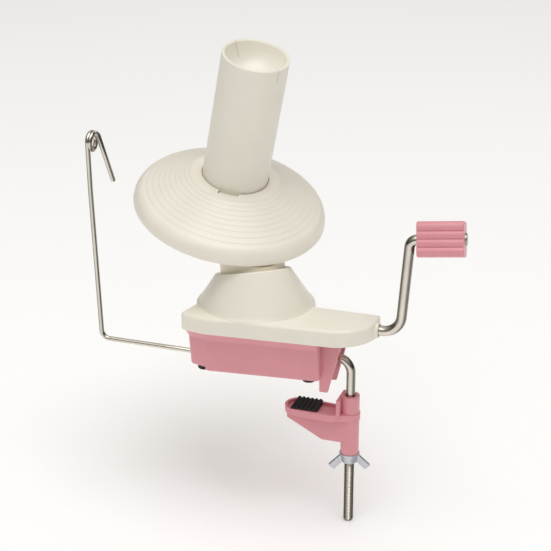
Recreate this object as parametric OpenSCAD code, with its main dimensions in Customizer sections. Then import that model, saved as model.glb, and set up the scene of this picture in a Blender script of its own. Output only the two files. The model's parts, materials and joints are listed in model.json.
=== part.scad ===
// Hand-cranked yarn ball winder with a table clamp and a yarn guide wire.
// Origin: the point of the table top's edge that the two prongs hook over, in the
// plane of the clamp rod. +X points away from the table towards the crank, +Z is up.

/* [Base] */
// Height of the cover's flat top above the table
cover_top_z = 38.5; // [37:0.5:40]
// Depth of the cover's skirt
skirt_h = 10; // [9:0.5:11]
// Wall thickness of the mouldings
wall = 2.2; // [1.8:0.1:2.4]
// Radius of the cone where it meets the cover's flat top
cone_base_r = 32.75; // [32:0.25:34]
// Radius of the cone's rim, round the rotor's neck
cone_rim_r = 22; // [21.6:0.1:22.4]
// Gap between the table top and the tray's underside, filled by the rubber feet
foot_h = 2.5; // [2:0.1:3]

/* [Winding head] */
// Tilt of the rotor's axis from vertical
rotor_tilt = 18.7; // [18:0.1:19.5]
// Compass direction in which the rotor's axis tilts
rotor_azimuth = 125.5; // [122:0.5:128]
// Angle between the rotor's axis and the spool's axis
wobble = 35.3; // [35:0.1:35.6]
// Radius of the rotor's neck
neck_r = 18.9; // [18.6:0.1:19]
// Outer radius of the domed disc
disc_r = 57.8; // [57:0.1:58.5]
// Height of the disc's hub above the widest part of its rim
disc_rise = 20; // [19:0.5:21]
// Number of fine steps moulded in the disc's top
disc_steps = 9; // [6:1:10]
// Outer radius of the spindle
spindle_r = 19.4; // [19:0.1:19.6]
// Height of the spindle's top above the widest part of the disc's rim
spindle_top = 101; // [96:1:106]

/* [Gears] */
// Teeth of the bevel gear on the crank
crank_teeth = 24; // [24:1:24]
// Teeth of the bevel pinion on the rotor
pinion_teeth = 16; // [16:1:16]
// Teeth of the fixed sun gear
sun_teeth = 12; // [12:1:12]
// Teeth of the internal ring gear in the disc
ring_teeth = 48; // [48:1:48]

/* [Crank and grip] */
// Height of the crank's axis above the table
crank_z = 33; // [32.5:0.1:33.5]
// Diameter of the crank's rod
crank_rod_d = 5.9; // [5.6:0.1:6]
// Width of the grip across its flats
grip_w = 19.2; // [18:0.2:20]
// Length of the grip
grip_len = 27; // [24:1:30]
// Ribs on each side of the grip
grip_ribs = 4; // [3:1:5]

/* [Table clamp] */
// Distance of the clamp rod's axis from the table's edge
rod_x = 16; // [15.5:0.1:16.5]
// Diameter of the clamp rod's plain shank
rod_shank_d = 5.3; // [5:0.1:5.6]
// Outer diameter of the clamp rod's thread
rod_thread_d = 6; // [6:0.1:6]
// Depth of the rod's end below the table top
rod_end_z = -94; // [-100:1:-90]
// Height of the rubber pad's face in the position shown
pad_face_z = -20; // [-21:0.5:-19]

/* [Guide wire] */
// Diameter of the guide wire
wire_d = 2.6; // [2.4:0.1:3]
// Distance of the wire's upright from the table's edge, at its foot
wire_x = -140.3; // [-144:0.1:-138]
// Height of the centre of the wire's eye
eye_z = 128; // [120:0.5:132]
// Radius of the eye, to the wire's centre
eye_r = 5; // [4.8:0.1:5.6]

/* [Hidden] */
$fn = 64;

ivory = [0.93, 0.91, 0.84];
pink = [0.86, 0.62, 0.66];
steel = [0.72, 0.71, 0.68];
zinc = [0.70, 0.73, 0.77];
rubber = [0.08, 0.08, 0.09];
nylon = [0.90, 0.90, 0.86];

// Plan of the base: circles that a taut band round them outlines, plus the cone's circle
cone_xy = [-44.7, 6.5];
near_band = [[[-75.2, -21.8], 5], [[-64.5, -16.7], 12], [[6.2, 2.2], 25], [[-69.8, -9.5], 6]];
far_edge_y = 9.6;
cone_skirt_r = cone_base_r + 0.65;
skirt_z = cover_top_z - skirt_h;
tray_right_x = 2;
nose_y0 = -11;
nose_y1 = 9.2;
prong_w = 2.5;
prong_bottom_z = -6.1;
prong_foot = 5;
prong_slope = 0.244;
ledge_x = -66;
feet_xy = [[-6.4, -12.2], [-70.4, -15.2], [-36, 25], [-62, 21]];
post_xy = [[-65.3, 3.5], [-62, 11.5], [-13.5, -11.8], [-25.1, 14.9]];
split_z = 20;

// Crossing of the crank's axis and the rotor's axis, and heights along the rotor's axis
cross_x = -41.84;
rim_h = 25.65;
apex_h = 100.35;
disc_drop = 43.83;
rest_phase = -171.7;
cone_rim_c = [cross_x - rim_h * sin(rotor_tilt) * cos(180 - rotor_azimuth),
    rim_h * sin(rotor_tilt) * sin(rotor_azimuth), crank_z + rim_h * cos(rotor_tilt)];

// Bevel pair on the crank and the rotor: the shafts meet at an obtuse angle
crank_angle = acos(sin(rotor_tilt) * cos(rotor_azimuth));
crank_ratio = crank_teeth / pinion_teeth;
pinion_half = atan(sin(crank_angle) / (crank_ratio + cos(crank_angle)));
crank_half = crank_angle - pinion_half;
pinion_pitch_r = 12;
drive_cone = pinion_pitch_r / sin(pinion_half);
drive_face = 5.5;
gear_pin_x = -25.8;
drive_module = 2 * pinion_pitch_r / pinion_teeth;

// Sun and ring: their cones share the point where the rotor and spool axes cross
spool_ratio = sun_teeth / ring_teeth;
sun_half = atan(spool_ratio * sin(wobble) / (1 - spool_ratio * cos(wobble)));
ring_half = wobble + sun_half;
spool_cone = 61.5;
spool_face = 6.5;
sun_module = 2 * spool_cone * sin(sun_half) / sun_teeth;

post_d = 6;
post_foot_h = -30;
post_top_h = 47.6;
stub_d = 8;
hub_hole_r = 20.6;
plate_z = -4.5;
plate_t = 2.5;

guide_y = -5;
guide_z = 5.4;
guide_lean = 1.7;

// ---------------------------------------------------------------- helpers

// Outward normal of the line that touches two circles on their right-hand side
function touch(a, b) = let (d = b[0] - a[0])
    atan2(d.y, d.x) - acos((a[1] - b[1]) / norm(d));

// Outline of a band stretched round circles given in counter-clockwise order
function band(cs, inset = 0, steps = 10) = let (n = len(cs)) [
    for (i = [0:n - 1])
        let (t0 = touch(cs[(i + n - 1) % n], cs[i]), t1 = touch(cs[i], cs[(i + 1) % n]),
            turn = (t1 - t0 + 720) % 360, r = cs[i][1] - inset)
        for (k = [0:steps]) let (t = t0 + turn * k / steps)
            cs[i][0] + r * [cos(t), sin(t)]];

function at_z(points, z) = [for (p = points) [p.x, p.y, z]];

// Solid through a stack of outlines that have the same number of points
module loft(rings) {
    n = len(rings[0]);
    m = len(rings);
    sides = [for (j = [0:m - 2], i = [0:n - 1]) let (a = j * n + i, b = j * n + (i + 1) % n)
        each [[a, a + n, b], [b, a + n, b + n]]];
    bottom = [[for (i = [0:n - 1]) i]];
    top = [[for (i = [n - 1:-1:0]) (m - 1) * n + i]];
    polyhedron(points = [for (r = rings) each r], faces = concat(sides, bottom, top),
        convexity = 6);
}

// Straight bar of a rod or wire between two points
module bar(a, b, r) {
    d = b - a;
    translate(a)
        rotate([0, acos(d.z / norm(d)), atan2(d.y, d.x)])
            cylinder(r = r, h = norm(d));
}

// Bend of a rod, starting at the origin along +X and turning towards +Z
module bend(radius, angle, r) {
    translate([0, 0, radius])
        rotate([90, 0, 0])
            rotate([0, 0, -90])
                rotate_extrude(angle = angle)
                    translate([radius, 0]) circle(r = r);
}

module ring(r_out, r_in, h) {
    difference() {
        cylinder(r = r_out, h = h);
        translate([0, 0, -1]) cylinder(r = r_in, h = h + 2);
    }
}

// Rotor frame: +Z along the rotor's axis, +X the side to which the spool leans
module rotor_axis() {
    translate([cross_x, 0, crank_z]) rotate([0, rotor_tilt, rotor_azimuth]) children();
}

module rotor_frame() {
    rotor_axis() rotate([0, 0, rest_phase]) children();
}

// Spool frame: +Z along the spindle, origin at the widest part of the disc's rim
module spool_frame() {
    rotor_frame() translate([0, 0, apex_h]) rotate([0, wobble, 0])
        translate([0, 0, -disc_drop]) children();
}

// One bevel tooth: a wedge between two cone distances, narrowing from root to tip.
// half_* are the cone half-angles, w_* the half widths in degrees of gear rotation.
module tooth(half_root, half_tip, w_root, w_tip, cone_in, cone_out) {
    function at(l, h, w) = [l * sin(h) * cos(w), l * sin(h) * sin(w), l * cos(h)];
    pts = [for (l = [cone_in, cone_out])
        each [at(l, half_root, -w_root), at(l, half_tip, -w_tip), at(l, half_tip, w_tip),
            at(l, half_root, w_root)]];
    hull() polyhedron(points = pts, faces = [[0, 1, 2, 3], [7, 6, 5, 4], [0, 4, 5, 1],
        [1, 5, 6, 2], [2, 6, 7, 3], [3, 7, 4, 0]]);
}

// ---------------------------------------------------------------- base

module plan(inset, steps = 10) {
    union() {
        intersection() {
            polygon(band(near_band, inset, steps));
            translate([-100, -60]) square([200, 60 + far_edge_y - inset]);
        }
        translate(cone_xy) circle(r = cone_skirt_r - inset);
    }
}

module cone_solid(inset, rim_r, lift) {
    // Oblique cone between the circle on the flat top and the tilted rim
    a = [for (k = [0:47]) let (t = k * 7.5)
        [cone_xy.x + (cone_base_r - inset) * cos(t),
            cone_xy.y + (cone_base_r - inset) * sin(t), cover_top_z - 1.5]];
    shift = rotor_azimuth;
    b = [for (k = [0:47]) let (t = k * 7.5 - shift, h = rim_h + lift)
        let (u = [rim_r * cos(t), rim_r * sin(t), h])
        [cross_x + (u.x * cos(rotor_tilt) + u.z * sin(rotor_tilt)) * cos(rotor_azimuth)
                - u.y * sin(rotor_azimuth),
            (u.x * cos(rotor_tilt) + u.z * sin(rotor_tilt)) * sin(rotor_azimuth)
                + u.y * cos(rotor_azimuth),
            crank_z - u.x * sin(rotor_tilt) + u.z * cos(rotor_tilt)]];
    loft([a, b]);
}

module cover() color(ivory) {
    difference() {
        union() {
            difference() {
                union() {
                    translate([0, 0, skirt_z]) linear_extrude(skirt_h - 1) plan(0);
                    translate([0, 0, cover_top_z - 1]) linear_extrude(1) plan(0.6);
                    cone_solid(0, cone_rim_r, 0);
                }
                translate([0, 0, skirt_z - 1]) linear_extrude(skirt_h - wall + 1)
                    plan(wall - 0.2);
                cone_solid(wall + 0.2, cone_rim_r - wall - 0.6, -wall - 0.6);
                translate([cone_xy.x, cone_xy.y, skirt_z]) cylinder(r = cone_base_r - wall - 0.6, h = 9);
            }
            // Screw posts hang from the cover
            intersection() {
                union() for (p = post_xy)
                    translate([p.x, p.y, split_z]) cylinder(r = 3.4, h = 30);
                union() {
                    translate([0, 0, split_z - 1]) linear_extrude(cover_top_z - split_z)
                        plan(1);
                    cone_solid(1, cone_rim_r - 1, -1);
                }
            }
            // Upper halves of the two crank bearings
            translate([-22.6, -6.5, crank_z + 0.2]) cube([7.2, 13, cover_top_z - crank_z - 1]);
            translate([22, -6.5, crank_z + 0.2]) cube([7.5, 13, cover_top_z - crank_z - 1]);
            // Thick mouth round the rotor's neck
            rotor_axis() translate([0, 0, rim_h - 3.4]) ring(cone_rim_r - 0.8, neck_r + 0.4, 3);
        }
        // Bearing mouth for the rotor's neck
        rotor_axis() translate([0, 0, rim_h - 8]) cylinder(r = neck_r + 0.5, h = 20);
        // Crank bore and seats for the bushes
        translate([-27, 0, crank_z]) rotate([0, 90, 0]) cylinder(r = 3.3, h = 70);
        for (x = [-23.1, 21.5]) translate([x, 0, crank_z]) rotate([0, 90, 0])
            cylinder(r = 4.6, h = 9.2);
        for (p = post_xy) translate([p.x, p.y, split_z - 1]) cylinder(r = 1.25, h = 13);
    }
}

// Tray outline: circles that a taut band outlines, at the floor and at the upper edge
tray_low = [[[-72.2, -16.2], 4.5], [[-63.5, -14.8], 8], [[tray_right_x - 3.2, -13.8], 2.4],
    [[tray_right_x - 3.2, 4.2], 2.4], [cone_xy, 26]];
tray_high = [[[-75.2, -21.8], 4], [[-64.5, -16.7], 11], [[tray_right_x - 3.2, -20.2], 2.4],
    [[tray_right_x - 3.2, 4.2], 2.4], [cone_xy, 30.6]];
tray_steps = [3, 2, 3, 2, 18];

// Outline a fraction t of the way from the low outline to the high one
function tray_ring(t, inset, z) = let (n = len(tray_low),
    cs = [for (i = [0:n - 1]) [tray_low[i][0] * (1 - t) + tray_high[i][0] * t,
        tray_low[i][1] * (1 - t) + tray_high[i][1] * t - inset]]) [
    for (i = [0:n - 1])
        // The outline turns inwards at both ends of the last circle
        let (t0 = i == 0 ? 178 : i == n - 1 ? 3 - 2 * inset : touch(cs[i - 1], cs[i]),
            t1 = i == n - 1 ? 205 + inset : i == n - 2 ? 90 : touch(cs[i], cs[i + 1]),
            turn = (t1 - t0 + 720) % 360)
        for (k = [0:tray_steps[i]]) let (u = t0 + turn * k / tray_steps[i])
            [cs[i][0].x + cs[i][1] * cos(u), cs[i][0].y + cs[i][1] * sin(u), z]];

module tray_shape(t, inset) {
    polygon([for (p = tray_ring(t, inset, 0)) [p.x, p.y]]);
}

// Side view of one prong's plate
module prong_profile() {
    polygon([[0, prong_bottom_z], [prong_foot, prong_bottom_z],
        [prong_foot + prong_slope * (skirt_z - prong_bottom_z), skirt_z - 0.1],
        [-2, skirt_z - 0.1], [-2, foot_h], [0, foot_h]]);
}

// Side view of the wall between the prongs, through which the clamp rod passes
module nose_profile() {
    low = prong_foot + prong_slope * (foot_h - prong_bottom_z) - 1.8;
    high = prong_foot + prong_slope * (skirt_z - prong_bottom_z) - 1.8;
    polygon([[-2, foot_h], [low, foot_h], [high, skirt_z - 0.1], [high - 2.2, skirt_z - 0.1],
        [low - 1.4, foot_h + wall], [-2, foot_h + wall]]);
}

// Upright plate of a side view, between two distances along Y
module side_plate(y0, y1) {
    translate([0, y1, 0]) rotate([90, 0, 0]) linear_extrude(y1 - y0) children();
}

module tray() color(pink) {
    floor_top = foot_h + wall;
    difference() {
        union() {
            // Tapered cup with a flared edge and a rim that locates the cover's skirt,
            // cut up underneath at the guide end
            difference() {
                loft([tray_ring(0, 0, foot_h), tray_ring(0.3, 0, 23),
                    tray_ring(1, 0, skirt_z - 0.1), tray_ring(1, 1.2, skirt_z - 0.1),
                    tray_ring(1, 1.4, skirt_z + 2), tray_ring(1, 2.7, skirt_z + 2),
                    tray_ring(1, 2.8, skirt_z - 1), tray_ring(0.3, wall, 23),
                    tray_ring(0.03, wall, floor_top)]);
                translate([-100, -60, -1]) cube([100 + ledge_x, 120, 6]);
            }
            // Raised floor at the guide end
            intersection() {
                translate([0, 0, 5]) linear_extrude(wall) tray_shape(0.05, 1.1);
                translate([-100, -60, 0]) cube([102 + ledge_x, 120, 20]);
            }
            // Prongs that hook over the table's edge, and the wall between them
            side_plate(nose_y0, nose_y0 + prong_w) prong_profile();
            side_plate(nose_y1 - prong_w, nose_y1) prong_profile();
            side_plate(nose_y0 + 1, nose_y1 - 1) nose_profile();
            // Tongue that closes the underside of the cover's arm
            translate([0, 0, skirt_z - 0.3]) linear_extrude(2.2) intersection() {
                plan(wall + 0.2, 5);
                translate([tray_right_x - 4, -60]) square([100, 120]);
            }
            // Lower halves of the crank bearings
            translate([-22.6, -6.5, foot_h + 1]) cube([7.2, 13, crank_z - foot_h - 1]);
            translate([21.8, -5.6, skirt_z - 0.2]) cube([5, 11.2, crank_z - skirt_z + 0.2]);
            // Block that holds the clamp rod
            translate([-9, -6, foot_h + 1]) cube([12, 12, 15]);
            // Socket for the centre post
            intersection() {
                rotor_axis() rotate([0, 0, 67]) translate([0, 0, -36])
                    cylinder(r = 5.6, h = 13.5);
                translate([-100, -60, foot_h + 0.5]) cube([200, 120, 30]);
            }
            // Posts for the cover screws
            for (p = post_xy) {
                low = p.x < ledge_x ? 5.5 : foot_h + 0.5;
                translate([p.x, p.y, low]) cylinder(r = 3.4, h = split_z - low - 0.1);
            }
            // Block that grips the guide wire
            translate([-75, guide_y - 4, 3.1]) cube([13, 8, 7.9]);
        }
        // Bores
        translate([-27, 0, crank_z]) rotate([0, 90, 0]) cylinder(r = 3.3, h = 70);
        for (x = [-23.1, 21.5]) translate([x, 0, crank_z]) rotate([0, 90, 0])
            cylinder(r = 4.6, h = 9.2);
        rotor_axis() translate([0, 0, post_foot_h]) cylinder(r = post_d / 2, h = 20);
        translate([-9.5, 0, 12.7]) rotate([0, 90, 0]) cylinder(r = 2.75, h = 30);
        translate([-90, guide_y, guide_z]) rotate([0, 90, 0])
            cylinder(r = wire_d / 2 + 0.05, h = 40);
        translate([-62, guide_y, guide_z]) rotate([0, 90, 0]) cylinder(r = 2.3, h = 3);
        for (p = post_xy) {
            translate([p.x, p.y, -1]) cylinder(r = 1.65, h = 30);
            translate([p.x, p.y, -1]) cylinder(r = 2.8, h = 9);
        }
        for (p = feet_xy) translate([p.x, p.y, 0]) cylinder(r = 2, h = 9);
    }
}

module rubber_feet() color(rubber) {
    for (p = feet_xy) translate([p.x, p.y, 0]) {
        top = p.x < ledge_x ? 5 : foot_h;
        rotate_extrude() polygon([[0, 0], [3.4, 0], [4.1, 0.8], [4.1, top], [1.95, top],
            [1.95, top + 2], [0, top + 2]]);
    }
}

module cover_screws() color(steel) {
    for (p = post_xy) translate([p.x, p.y, 0]) difference() {
        rotate_extrude() polygon([[0, 5.8], [2.7, 5.8], [2.7, 8], [1.2, 8], [1.2, 30.4],
            [0.5, 31.6], [0, 31.6]]);
        for (a = [0, 90]) rotate([0, 0, a]) translate([-1.8, -0.35, 5]) cube([3.6, 0.7, 1.8]);
    }
}

// ---------------------------------------------------------------- clamp

module clamp_rod() color(steel) {
    bend_r = 9;
    rod_z = 12.7;
    r = rod_shank_d / 2;
    bar([-14, 0, rod_z], [rod_x - bend_r, 0, rod_z], r);
    translate([rod_x - bend_r, 0, rod_z]) mirror([0, 0, 1]) bend(bend_r, 90, r);
    bar([rod_x, 0, rod_z - bend_r], [rod_x, 0, -40], r);
    translate([rod_x, 0, rod_end_z]) {
        cylinder(r1 = rod_thread_d / 2 - 0.7, r2 = rod_thread_d / 2, h = 0.7);
        translate([0, 0, 0.7]) cylinder(r = rod_thread_d / 2, h = -40 - rod_end_z - 0.7);
    }
}

module rod_nut() color(zinc) {
    translate([-13, 0, 12.7]) rotate([0, 90, 0]) {
        difference() {
            cylinder(r = 5, h = 3, $fn = 6);
            translate([0, 0, -1]) cylinder(r = rod_shank_d / 2, h = 6);
        }
        translate([0, 0, 3]) ring(5, rod_shank_d / 2, 0.8);
    }
}

module clamp_jaw() color(pink) {
    top = pad_face_z - 1.5;
    boss_r = 5.4;
    plan_circles = [[[-15.4, 0], 8.6], [[4, 0], 9.3], [[rod_x, 0], 6]];
    difference() {
        union() {
            translate([0, 0, top - 4]) linear_extrude(4) polygon(band(plan_circles));
            // Web below the plate, tapering to the jaw's tip
            translate([0, 5.3, 0]) rotate([90, 0, 0]) linear_extrude(10.6)
                polygon([[-21.4, top - 3], [-21.4, top - 7], [0.2, top - 18.4],
                    [rod_x, top - 18.4], [rod_x, top - 3]]);
            // Boss round the rod
            translate([rod_x, 0, -48.2]) cylinder(r = boss_r, h = 37.5);
            // Upright wall in front of the boss, and the rib between them
            translate([9.5, -8, top - 2]) cube([2.2, 16, 11.6]);
            translate([10, -1.3, top - 2]) cube([3, 2.6, 11.6]);
        }
        // Recessed floor with a raised lip round it
        difference() {
            translate([0, 0, top - 1.3]) linear_extrude(2) polygon(band(plan_circles, 1.8));
            translate([9.5, -20, -40]) cube([30, 40, 40]);
        }
        translate([-18.65, -7.35, top - 1.3]) cube([15.8, 14.7, 5]);
        // Hollow of the web, open below
        translate([0, 3, 0]) rotate([90, 0, 0]) linear_extrude(6)
            polygon([[-18.4, top - 5.5], [-18.4, top - 6.2], [0.6, top - 20],
                [9, top - 20], [9, top - 5.5]]);
        translate([rod_x, 0, -60]) cylinder(r = 3.1, h = 60);
    }
}

module jaw_pad() color(rubber) {
    ribs = 6;
    len = 15.7;
    pitch = len / ribs;
    floor_z = pad_face_z - 2.8;
    translate([-18.6, 7.3, floor_z]) rotate([90, 0, 0]) linear_extrude(14.6)
        polygon(concat([[len, 0], [0, 0]], [for (k = [0:ribs - 1])
            each [[k * pitch, 2], [(k + 0.25) * pitch, 2.8], [(k + 0.65) * pitch, 2.8],
                [(k + 0.9) * pitch, 2]]], [[len, 2]]));
}

module clamp_washer() color(zinc) {
    translate([rod_x, 0, -49]) ring(6, 3.1, 0.8);
}

module wing_nut() color(zinc) {
    hub_h = 5.4;
    translate([rod_x, 0, -49 - hub_h]) rotate([0, 0, 17]) difference() {
        union() {
            cylinder(r1 = 4.3, r2 = 5.4, h = hub_h - 1.2);
            translate([0, 0, hub_h - 1.2]) cylinder(r = 5.4, h = 1.2);
            for (s = [-1, 1]) hull() {
                translate([s * 4.2, 0, hub_h - 2.6]) rotate([90, 0, 0])
                    cylinder(r = 1.9, h = 2.2, center = true, $fn = 24);
                translate([s * 9.4, 0, hub_h - 8.2]) rotate([90, 0, 0])
                    cylinder(r = 2.3, h = 1.8, center = true, $fn = 24);
            }
        }
        translate([0, 0, -6]) cylinder(r = 3.05, h = 20);
    }
}

// ---------------------------------------------------------------- crank

arm_lean = 4.2;
arm_straight = 43;
low_bend_r = 11;
top_bend_r = 4.8;
bend_x = 34;
pin_twist = 8;
pin_turn = 81.4;
pin_len = grip_len + 2.4;

// Frame at the start of the grip's pin: +Z along the pin
module pin_frame() {
    translate([bend_x, 0, crank_z]) translate([0, 0, low_bend_r])
        rotate([0, -(90 - arm_lean), 0]) translate([0, 0, -low_bend_r])
            translate([arm_straight, 0, 0]) rotate([pin_twist, 0, 0])
                translate([0, 0, -top_bend_r]) rotate([0, pin_turn, 0])
                    translate([0, 0, top_bend_r]) rotate([0, 90, 0]) children();
}

module crank_rod() color(steel) {
    r = crank_rod_d / 2;
    difference() {
        bar([-36.4, 0, crank_z], [bend_x, 0, crank_z], r);
        translate([gear_pin_x, 0, crank_z - 10]) cylinder(r = 1, h = 20);
    }
    translate([bend_x, 0, crank_z]) bend(low_bend_r, 90 - arm_lean, r);
    translate([bend_x, 0, crank_z + low_bend_r]) rotate([0, -(90 - arm_lean), 0])
        translate([0, 0, -low_bend_r]) {
            rotate([0, 90, 0]) cylinder(r = r, h = arm_straight);
            translate([arm_straight, 0, 0]) rotate([pin_twist, 0, 0]) mirror([0, 0, 1])
                bend(top_bend_r, pin_turn, r);
        }
    pin_frame() cylinder(r = r, h = pin_len);
}

module crank_bushes() color(nylon) {
    for (x = [-23, 21.6]) translate([x, 0, crank_z]) rotate([0, 90, 0])
        ring(4.55, crank_rod_d / 2 + 0.05, 9);
}

// Profile across one side of the grip: half-round ribs along a straight edge
module grip_section() {
    side = grip_w - 1.8;
    pitch = side / grip_ribs;
    corner = side / 2;
    points = [for (s = [0:3], k = [0:grip_ribs - 1], t = [0:6])
        let (u = -corner + (k + t / 6) * pitch, v = corner + 0.95 * sin(180 * t / 6),
            a = 90 * s)
        [u * cos(a) + v * sin(a), -u * sin(a) + v * cos(a)]];
    polygon(points);
}

module grip() color(pink) {
    pin_frame() translate([0, 0, 0.3]) rotate([0, 0, -22]) difference() {
        linear_extrude(grip_len) grip_section();
        translate([0, 0, -1]) cylinder(r = crank_rod_d / 2 + 0.08, h = grip_len + 2);
    }
}

module grip_cap() color(steel) {
    pin_frame() translate([0, 0, grip_len + 0.5]) difference() {
        union() {
            cylinder(r = 4, h = 0.8);
            cylinder(r = 3.6, h = 2.2);
        }
        translate([0, 0, -1]) cylinder(r = crank_rod_d / 2, h = 2.9);
    }
}

module crank_gear() color(nylon) {
    half_add = atan(0.8 * drive_module / drive_cone);
    half_ded = atan(1.05 * drive_module / drive_cone);
    root = crank_half - half_ded;
    tip = crank_half + half_add;
    pitch = 360 / crank_teeth;
    in = drive_cone - drive_face;
    toward = atan2(cos(rotor_tilt), sin(rotor_tilt) * sin(rotor_azimuth));
    translate([cross_x, 0, crank_z]) rotate([0, 90, 0]) difference() {
        union() {
            rotate_extrude() polygon([[0, in * cos(root) + 0.6], [in * sin(root), in * cos(root)],
                [drive_cone * sin(root), drive_cone * cos(root)],
                [drive_cone * sin(root), drive_cone * cos(root) + 2.6], [7, 13.6],
                [6, 18.3], [0, 18.3]]);
            for (k = [0:crank_teeth - 1]) rotate([0, 0, k * pitch + 180 - toward])
                tooth(root - 1.5, tip, pitch * 0.285, pitch * 0.135, in, drive_cone);
        }
        translate([0, 0, -1]) cylinder(r = crank_rod_d / 2, h = 40);
        translate([20, 0, gear_pin_x - cross_x]) rotate([0, -90, 0]) cylinder(r = 1, h = 40);
    }
}

module gear_pin() color(steel) {
    translate([gear_pin_x, 0, crank_z - 5.6]) cylinder(r = 1, h = 11.2);
}

// ---------------------------------------------------------------- winding head

module centre_post() color(steel) {
    rotor_axis() translate([0, 0, post_foot_h]) difference() {
        cylinder(r = post_d / 2, h = post_top_h - post_foot_h);
        translate([0, 0, post_top_h - post_foot_h - 9]) cylinder(r = 1.5, h = 10);
    }
}

module thrust_washer() color(zinc) {
    rotor_axis() translate([0, 0, 8.4]) ring(5.4, post_d / 2, 1);
}

module rotor_pinion() color(nylon) {
    half_add = atan(0.8 * drive_module / drive_cone);
    half_ded = atan(1.05 * drive_module / drive_cone);
    root = pinion_half - half_ded;
    tip = pinion_half + half_add;
    pitch = 360 / pinion_teeth;
    in = drive_cone - drive_face;
    toward = atan2(-sin(rotor_azimuth), cos(rotor_azimuth) * cos(rotor_tilt));
    rotor_axis() difference() {
        union() {
            rotate_extrude() polygon([[0, 9.6], [5, 9.6], [in * sin(root), in * cos(root)],
                [drive_cone * sin(root), drive_cone * cos(root)], [10.4, 18.4], [0, 18.4]]);
            for (k = [0:pinion_teeth - 1]) rotate([0, 0, (k + 0.5) * pitch + toward])
                tooth(root - 2, tip, pitch * 0.285, pitch * 0.135, in, drive_cone);
        }
        translate([0, 0, 5]) cylinder(r = post_d / 2 + 0.06, h = 40);
    }
}

module rotor() color(ivory) {
    floor_h = 34.4;
    difference() {
        union() {
            rotor_frame() {
                // Neck, its floor and the bearing hub round the centre post
                translate([0, 0, 21.4]) ring(neck_r, neck_r - wall, 50);
                translate([0, 0, floor_h]) cylinder(r = neck_r - 1, h = 3);
                translate([0, 0, 18.5]) cylinder(r = 7, h = 17);
                for (a = [30:60:330]) rotate([0, 0, a]) translate([6, -0.9, 24])
                    cube([11.6, 1.8, 12]);
            }
            // Inclined plate under the disc, and the boss of the stub shaft
            spool_frame() {
                translate([0, 0, plate_z]) cylinder(r = 49, h = plate_t);
                translate([0, 0, plate_z - 4]) cylinder(r = 9, h = 16);
            }
        }
        rotor_frame() {
            translate([0, 0, 10]) cylinder(r = post_d / 2 + 0.06, h = 60);
            // Chamber of the sun gear
            translate([0, 0, floor_h + 3]) cylinder(r = 13.4, h = 40);
            translate([0, 0, -1]) cylinder(r = 60, h = 19.5);
        }
        // Everything above the plate except the stub boss is cut away
        spool_frame() {
            difference() {
                translate([0, 0, plate_z + plate_t]) cylinder(r = 90, h = 60);
                translate([0, 0, -20]) cylinder(r = 9, h = 90);
            }
            difference() {
                translate([0, 0, plate_z - 0.1]) cylinder(r = 90, h = 20);
                translate([0, 0, -20]) cylinder(r = 49, h = 60);
            }
            translate([0, 0, plate_z - 3.9]) cylinder(r = stub_d / 2, h = 40);
            translate([0, 0, 7.6]) cylinder(r = 20, h = 40);
        }
    }
}

module sun_gear() color(nylon) {
    half_add = atan(0.7 * sun_module / spool_cone);
    half_ded = atan(0.95 * sun_module / spool_cone);
    root = sun_half - half_ded;
    tip = sun_half + half_add;
    pitch = 360 / sun_teeth;
    in = spool_cone - spool_face;
    // The gear hangs below the apex, so it is built pointing down
    rotor_axis() translate([0, 0, apex_h]) rotate([180, 0, 0]) difference() {
        union() {
            rotate_extrude() polygon([[0, in * cos(root)], [in * sin(root), in * cos(root)],
                [spool_cone * sin(root), spool_cone * cos(root)], [5, spool_cone * cos(root) + 2],
                [0, spool_cone * cos(root) + 2]]);
            for (k = [0:sun_teeth - 1]) rotate([0, 0, k * pitch - rest_phase])
                tooth(root - 1.2, tip, pitch * 0.28, pitch * 0.14, in, spool_cone);
        }
        translate([0, 0, 10]) cylinder(r = post_d / 2, h = 70);
    }
}

module sun_screw() color(steel) {
    rotor_axis() translate([0, 0, post_top_h]) difference() {
        union() {
            cylinder(r = 4.2, h = 0.8);
            translate([0, 0, 0.8]) cylinder(r = 2.7, h = 1.8);
            translate([0, 0, -7]) cylinder(r = 1.5, h = 8);
        }
        translate([-1.8, -0.35, 1.6]) cube([3.6, 0.7, 2]);
    }
}

module stub_shaft() color(steel) {
    spool_frame() translate([0, 0, plate_z - 3.8]) difference() {
        cylinder(r = stub_d / 2, h = spindle_top - 16 - plate_z + 3.8);
        translate([0, 0, spindle_top - 26 - plate_z]) cylinder(r = 1.5, h = 40);
    }
}

// Outer and inner outline of the domed disc, from the hub to the rim
dome_r = 51.8;
rim_arc = 9.8;
rim_z = -2.75;
dome_z = rim_z + rim_arc * sin(66);
function dome(r) = dome_z + (disc_rise - dome_z) * (dome_r - r) / (dome_r - 25);

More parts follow.
